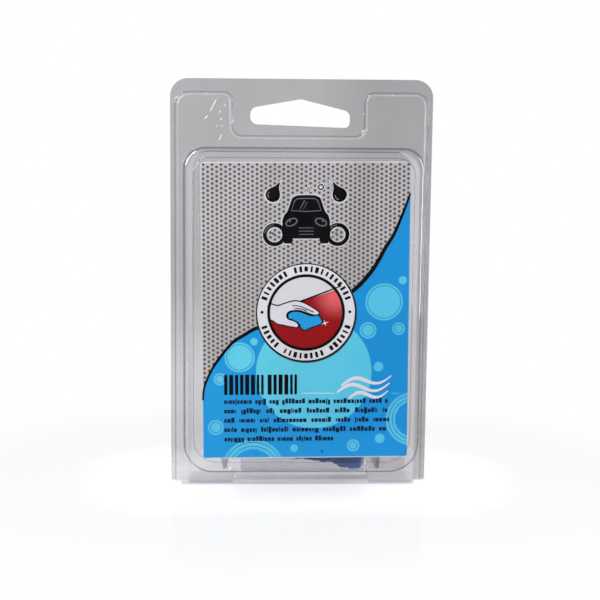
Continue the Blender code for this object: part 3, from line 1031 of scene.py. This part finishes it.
def print_roundel():
    """Ringed picture of a gloved hand rubbing clay over a red panel."""
    seal = Print("card_roundel", ROUNDEL)
    seal.shape(6, SHADE_INK, circle((0.15, -0.3), 20.35, 96))
    seal.shape(7, BLACK_INK, circle(ORIGIN, 20.1, 96))
    seal.shape(8, WHITE_INK, circle(ORIGIN, 19.65, 96))
    print_ring_words(seal, 90, (7, 13))
    print_ring_words(seal, 270, (6, 8, 5))
    for a in (-17.7, 17.6):
        seal.shape(9, BLACK_INK, circle((a, 0.25), 0.62, 20))
    inner = 15.0
    seal.shape(9, PALE_INK, circle(ORIGIN, inner, 80))
    start = math.degrees(math.atan2(-3.7, -14.3)) % 360
    sweep = (math.degrees(math.atan2(10.6, 13.5)) - start) % 360
    corner = (-4.5, 3.7)
    seal.shape(10, RED_INK, [corner, (-9.0, 1.0)] + circle(ORIGIN, inner, 40, start, sweep))
    seal.ribbon(11, BLACK_INK, [corner, (14.0, 10.8)], (0.75, 0.5))
    clay = smooth_path([
        (-7.2, -0.6), (-5.6, 0.5), (-3.0, 0.5), (-0.4, -0.3), (2.2, -1.3), (4.6, -0.9),
        (6.1, -2.4), (6.5, -4.2), (4.2, -5.5), (2.0, -6.2), (-0.3, -7.2), (-2.0, -6.4),
        (-3.0, -4.4), (-5.2, -3.0), (-7.0, -2.4),
    ], True, 5)
    hand = smooth_path([
        (-15.0, 3.5), (-11.4, 3.0), (-8.0, 4.1), (-4.6, 4.9), (-1.4, 4.3), (1.8, 2.6),
        (4.4, 0.9), (5.4, -0.2), (4.6, -0.9), (2.8, -0.9), (-0.2, 0.1), (-3.4, 0.9),
        (-6.6, 0.5), (-7.8, -1.0), (-7.0, -2.6), (-4.4, -3.5), (-3.0, -5.0), (-3.6, -6.1),
        (-6.0, -5.8), (-9.0, -5.1), (-11.6, -4.6), (-13.2, -3.4), (-15.0, -2.0),
    ], True, 5)
    seal.shape(11, CLAY_INK, clay)
    seal.ribbon(12, BLACK_INK, clay, 0.5, closed=True)
    seal.shape(13, HAND_INK, hand)
    seal.ribbon(14, BLACK_INK, hand, 0.5, closed=True)
    for line in (
        [(-5.6, 2.9), (-2.8, 2.7), (0.2, 1.5), (3.0, 0.2)],
        [(-4.8, 1.7), (-2.4, 1.6), (0.4, 0.6)],
    ):
        seal.ribbon(14, BLACK_INK, smooth_path(line), (0.3, 0.45))
    star = []
    for index in range(8):
        reach = (1.4, 0.34)[index % 2] * (1.25 if index % 4 == 0 else 1.0)
        star += circle((7.6, -4.3), reach, 1, 20 + 45 * index)
    seal.shape(14, WHITE_INK, star)
    seal.ribbon(15, BLACK_INK, circle(ORIGIN, inner + 0.05, 96), 1.15, closed=True)
    seal.finish()


def print_wording():
    """Blocks and rules in place of the heading, the script and the small print."""
    text = Print("card_wording")
    chance = random.Random(11)
    for left, stems in ((-32.9, 8), (-15.3, 6)):
        for _ in range(stems):
            width = chance.choice((1.0, 1.3, 1.6))
            text.shape(6, BLACK_INK, bar(left, left + width, -33.9, -25.6, 0.35, 3))
            left += width + 0.75
    for b, end, gap in (
        (-36.9, 34.4, 1.15), (-40.8, 34.4, 2.0), (-44.7, 34.4, 1.7), (-48.6, 34.4, 1.5),
        (-52.5, 11.7, 1.1),
    ):
        a = -32.9
        while a < end - 0.8:
            for _ in range(chance.randint(3, 10)):
                width = chance.choice((0.45, 0.9, 1.0, 1.15, 1.35))
                if a + width > end:
                    break
                low = b - 0.75 - (0.55 if chance.random() < 0.12 else 0.0)
                high = b + 0.75 + (0.6 if chance.random() < 0.22 else 0.0)
                text.shape(6, NAVY_INK, bar(a, a + width, low, high, 0.16))
                a += width + 0.27
            a += gap
    for start, end, low, high, swell in (
        (14.6, 34.8, -30.4, -26.4, 2.0), (12.8, 34.2, -33.2, -29.4, 2.2),
        (17.4, 33.6, -36.0, -32.6, 1.8),
    ):
        span = end - start
        crest = [
            (start + span * share, low + (high - low) * share + swell * math.sin(share * math.tau))
            for share in (step / 8 for step in range(9))
        ]
        text.ribbon(7, WHITE_INK, smooth_path(crest),
                    lambda share: 0.4 + 1.1 * math.sin(math.pi * share**0.7))
    text.ribbon(4, PALE_INK, [(-1.4, -33.4), (11.8, -33.5)], 0.35)
    text.shape(6, NAVY_INK, circle((6.8, -57.7), 0.4, 12))
    text.finish()


def print_back():
    """Plain back of the card: a blue band, rules in place of directions, and a panel."""
    back = Print("card_back_print", faces_front=False)
    strip = rectangle(-41.15, 41.15, 44.0, 59.8, 0.5, 1.0)
    back.shape(0, BLUE_INK, rounded_outline(strip, 4))
    for a, b, radius in ((-30.0, 52.0, 4.6), (-22.6, 48.6, 2.0), (-23.4, 55.4, 1.4)):
        back.ribbon(1, SKY_INK, circle((a, b), radius, 36), 0.8, closed=True)
    for b, half in ((54.6, 16.0), (50.2, 22.0)):
        back.shape(1, WHITE_INK, bar(10.0 - half, 10.0 + half, b - 1.1, b + 1.1, 1.0, 4))
    chance = random.Random(23)
    for row in range(17):
        b = 37.0 - row * 4.2
        if row in (4, 10):
            continue
        a = -34.0
        end = 34.0 if row % 5 != 3 else 12.0
        while a < end - 3:
            width = min(chance.uniform(3.0, 9.5), end - a)
            back.shape(0, GREY_INK, bar(a, a + width, b - 0.6, b + 0.6, 0.3))
            a += width + 1.3
    for left, right in ((-35.0, -8.0), (-4.0, 35.0)):
        back.ribbon(0, NAVY_INK, bar(left, right, -54.0, -38.0, 1.5, 4), 0.5, closed=True)
    back.finish()


paint(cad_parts["printed_card"], board_material())
print_perforation(print_background())
print_bubbles()
print_emblem()
print_roundel()
print_wording()
print_back()


# ---- clay and its film


def make_clay():
    """Kneaded slab grown from the packed clay's own shape: dented faces and a torn foot."""
    low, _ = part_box("clay_bar")
    piece = add_object("clay_slab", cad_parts["clay_bar"].data.copy())
    remesh = piece.modifiers.new("even_grid", "REMESH")
    remesh.mode = "VOXEL"
    remesh.voxel_size = 0.0009
    apply_modifiers(piece)
    highest, torn_height = 0.00012, 0.010
    for vertex in piece.data.vertices:
        spot = vertex.co.copy()
        dents = noise.noise(spot * 95.0) * 0.00022 + noise.noise(spot * 330.0) * 0.00010
        foot = max(0.0, 1.0 - (spot.z - low.z) / torn_height)
        torn = noise.noise(Vector((spot.x * 420.0, spot.y * 90.0, 3.0))) * 0.0014 * foot
        torn += noise.noise(Vector((spot.x * 1500.0, spot.y * 300.0, 8.0))) * 0.0012 * foot
        vertex.co += vertex.normal * min(dents - highest, highest)
        vertex.co.z = max(vertex.co.z + torn, low.z + 0.0001)
    smooth = piece.modifiers.new("soften", "SMOOTH")
    smooth.factor = 0.5
    smooth.iterations = 1
    apply_modifiers(piece)
    paint(piece, clay_material())
    piece.data.shade_smooth()
    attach(piece, "clay")
    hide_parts("clay_bar")


def make_film():
    """Crinkled film sleeve, gathered shut under the clay and open above it."""
    sheet = bmesh.new()
    section = bar(
        -SLEEVE_HALF.x, SLEEVE_HALF.x, -SLEEVE_HALF.y, SLEEVE_HALF.y, SLEEVE_RADIUS, 6)
    spacing, rows, pinched_from = 0.0016, 52, 0.0833
    outline = []
    for index, point in enumerate(section):
        last = section[index - 1]
        pieces = max(1, round((point - last).length / spacing))
        outline += [last + (point - last) * step / pieces for step in range(pieces)]
    grid = []
    for row in range(rows + 1):
        z = SLEEVE_BOTTOM + 0.0002 + (SLEEVE_TOP - 0.0003 - SLEEVE_BOTTOM) * row / rows
        free = max(0.0, (z - pinched_from) / (SLEEVE_TOP - pinched_from))
        ring = []
        for point in outline:
            outward = Vector((point.x / SLEEVE_HALF.x, point.y / SLEEVE_HALF.y)).normalized()
            spot = Vector((point.x, point.y, z))
            folds = noise.noise(Vector((spot.x * 130, spot.y * 130, spot.z * 60))) * 0.00010
            folds += noise.noise(spot * 420.0) * 0.00006
            pinch = free * (0.6 + 0.5 * noise.noise(Vector((spot.x * 160, 5.0, 1.0)))) * 0.0045
            bent = point + outward * min(folds, 0.00008)
            bent.y *= 1 - min(pinch / SLEEVE_HALF.y, 0.8)
            ring.append(sheet.verts.new((
                SLEEVE_MIDDLE.x + bent.x, SLEEVE_MIDDLE.y + bent.y, z)))
        grid.append(ring)
    gathered = []
    for vertex in grid[0]:
        y = (vertex.co.y + SLEEVE_MIDDLE.y) / 2
        gathered.append(sheet.verts.new((vertex.co.x, y, SLEEVE_BOTTOM + 0.0001)))
    for near, far in zip([gathered] + grid, grid):
        add_wall(sheet, near, far)
    sheet.faces.new(gathered)
    bmesh.ops.recalc_face_normals(sheet, faces=sheet.faces)
    piece = add_object("film_sleeve", to_mesh("film_sleeve", sheet))
    solidify = piece.modifiers.new("film", "SOLIDIFY")
    solidify.thickness = SLEEVE_FILM
    solidify.offset = -1.0
    apply_modifiers(piece)
    paint(piece, clear_plastic(
        "film_clear", (0.985, 0.985, 0.99), (0.95, 0.95, 0.97), 0.004, 0.00022,
        rim=0.3, crease=0.5))
    piece.data.shade_smooth()
    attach(piece, "clay")
    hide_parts("clay_wrapper")


make_clay()
make_film()

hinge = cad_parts["living_hinge"]
paint(hinge, clear_plastic(
    "clear_hinge", (0.90, 0.90, 0.91), (0.66, 0.66, 0.71), 0.02, 0.00004))
hinge.data.shade_smooth()


# ---- camera, lights, floor


def aim(place, target, roll=0.0):
    """Rotation that looks from a place to a target, turned about the line of sight."""
    look = (Vector(target) - Vector(place)).to_track_quat("-Z", "Y").to_matrix().to_4x4()
    return Matrix.Translation(Vector(place)) @ look @ Matrix.Rotation(roll, 4, "Z")


def make_camera():
    """Camera a little to the pack's left and above it, looking down at its middle."""
    distance, pitch, yaw = 0.650, math.radians(9.94), math.radians(2.64)
    target = Vector((0.0, -0.008, 0.0767))
    ahead = Vector((
        math.sin(yaw) * math.cos(pitch), math.cos(yaw) * math.cos(pitch), -math.sin(pitch)))
    data = bpy.data.cameras.new("camera")
    data.sensor_width = 36.0
    data.lens = 96.74
    data.clip_start = 0.05
    camera = add_object("camera", data)
    camera.matrix_world = aim(target - ahead * distance, target, math.radians(0.61))
    bpy.context.scene.camera = camera


def make_light(name, place, width, height, power, in_mirrors):
    """Rectangular softbox, either for matt faces or for reflections only."""
    data = bpy.data.lights.new(name, "AREA")
    data.shape = "RECTANGLE"
    data.size, data.size_y = width, height
    data.energy = power
    light = add_object(name, data)
    light.matrix_world = aim(place, (0.0, 0.0, PACK_MIDDLE))
    light.visible_glossy = in_mirrors
    light.visible_diffuse = not in_mirrors


# Levels of the room in mirrors: ahead, overhead, and behind as seen level and from below
ROOM_LOW = 0.01
ROOM_HIGH = 0.25
ROOM_BEHIND = 0.5
ROOM_BACKDROP = 1.0
# Level of the room on matt faces
ROOM_MATT = 0.80


def make_world():
    """White studio seen directly; in mirrors, a white backdrop behind and a dark room in front."""
    world = bpy.data.worlds.new("studio")
    bpy.context.scene.world = world
    world.use_nodes = True
    tree = world.node_tree
    tree.nodes.clear()
    way = add_node(tree, "TexCoord").outputs["Generated"]
    parts = add_node(tree, "SeparateXYZ", {0: way}).outputs
    path = add_node(tree, "LightPath").outputs
    overhead = add_ease(tree, parts["Z"], 0.0, 0.5, ROOM_LOW, ROOM_HIGH)
    rising = add_ease(tree, parts["Z"], 0.27, 0.31, ROOM_BEHIND, ROOM_BACKDROP)
    backward = add_ease(tree, parts["Y"], 0.3, 0.9, 0.0, 1.0)
    behind = add_maths(tree, "MULTIPLY", backward, rising)
    white = (1.0, 1.0, 1.0, 1.0)
    shown = add_output(tree, "Background", {"Color": white, "Strength": ROOM_MATT})
    for share, level in (
        (path["Is Glossy Ray"], add_maths(tree, "MAXIMUM", overhead, behind)),
        (path["Is Camera Ray"], 1.0),
    ):
        backdrop = add_node(tree, "Background", {"Color": white, "Strength": level})
        shown = add_mix(tree, share, shown, backdrop.outputs[0])
    add_node(tree, "OutputWorld", {"Surface": shown})


def make_floor():
    """Glossy floor that mirrors the pack's foot, then faintly the pack, and clears beyond."""
    material, tree = new_material("studio_floor")
    place = place_of(tree)
    parts = add_node(tree, "SeparateXYZ", {0: place}).outputs
    beyond = {}
    for index, (axis, pack_half) in enumerate((("X", 0.050), ("Y", 0.012))):
        past = add_maths(tree, "SUBTRACT", add_maths(tree, "ABSOLUTE", parts[axis]), pack_half)
        beyond[index] = add_maths(tree, "MAXIMUM", past, 0.0)
    gap = add_node(tree, "CombineXYZ", beyond).outputs[0]
    away = add_node(tree, "VectorMath", {0: gap}, operation="LENGTH").outputs["Value"]
    near = add_ease(tree, away, 0.0, 0.045, 1.0, 0.0)
    far = add_range(tree, away, 0.075, 0.120, 0.35, 0.0)
    uneven = add_noise(tree, place, 9.0, 2.0)
    clear = add_output(tree, "BsdfTransparent", {"Color": (1.0, 1.0, 1.0, 1.0)})
    matt = add_output(tree, "BsdfDiffuse", {"Color": (0.86, 0.86, 0.87, 1.0)})
    base = add_mix(tree, add_maths(tree, "MULTIPLY", near, 0.40), clear, matt)
    rough = add_range(tree, uneven, 0.3, 0.7, 0.12, 0.16)
    gloss = add_output(tree, "BsdfGlossy", {"Roughness": rough})
    fresnel = add_output(tree, "Fresnel", {"IOR": 1.45})
    mirror = add_maths(tree, "MULTIPLY", fresnel, add_maths(tree, "MAXIMUM", near, far))
    add_node(tree, "OutputMaterial", {"Surface": add_mix(tree, mirror, base, gloss)})
    mesh = bpy.data.meshes.new("floor")
    half = 0.30
    mesh.from_pydata(
        [(-half, -half, 0.0), (half, -half, 0.0), (half, half, 0.0), (-half, half, 0.0)],
        [], [(0, 1, 2, 3)])
    mesh.materials.append(material)
    floor = add_object("floor", mesh)
    floor.location.z = -0.00005


make_camera()
make_world()
make_floor()
# Place, width, height, watts and whether it shows in mirrors, of each softbox
for light_name, *settings in (
    ("key", (-0.45, -0.55, 0.62), 0.40, 0.40, 11.8, False),
    ("rear", (0.05, 0.60, 0.55), 0.60, 0.30, 5.0, False),
    ("fill", (0.62, 0.30, 0.30), 0.40, 0.50, 6.0, False),
    ("corner_panel", (-0.66, -0.42, 0.56), 0.80, 0.80, 40.0, True),
    ("side_panel", (0.62, -0.18, 0.19), 0.40, 0.48, 12.0, True),
):
    make_light(light_name, *settings)
bpy.context.scene.view_settings.view_transform = "Standard"
bpy.context.scene.cycles.transparent_max_bounces = 32
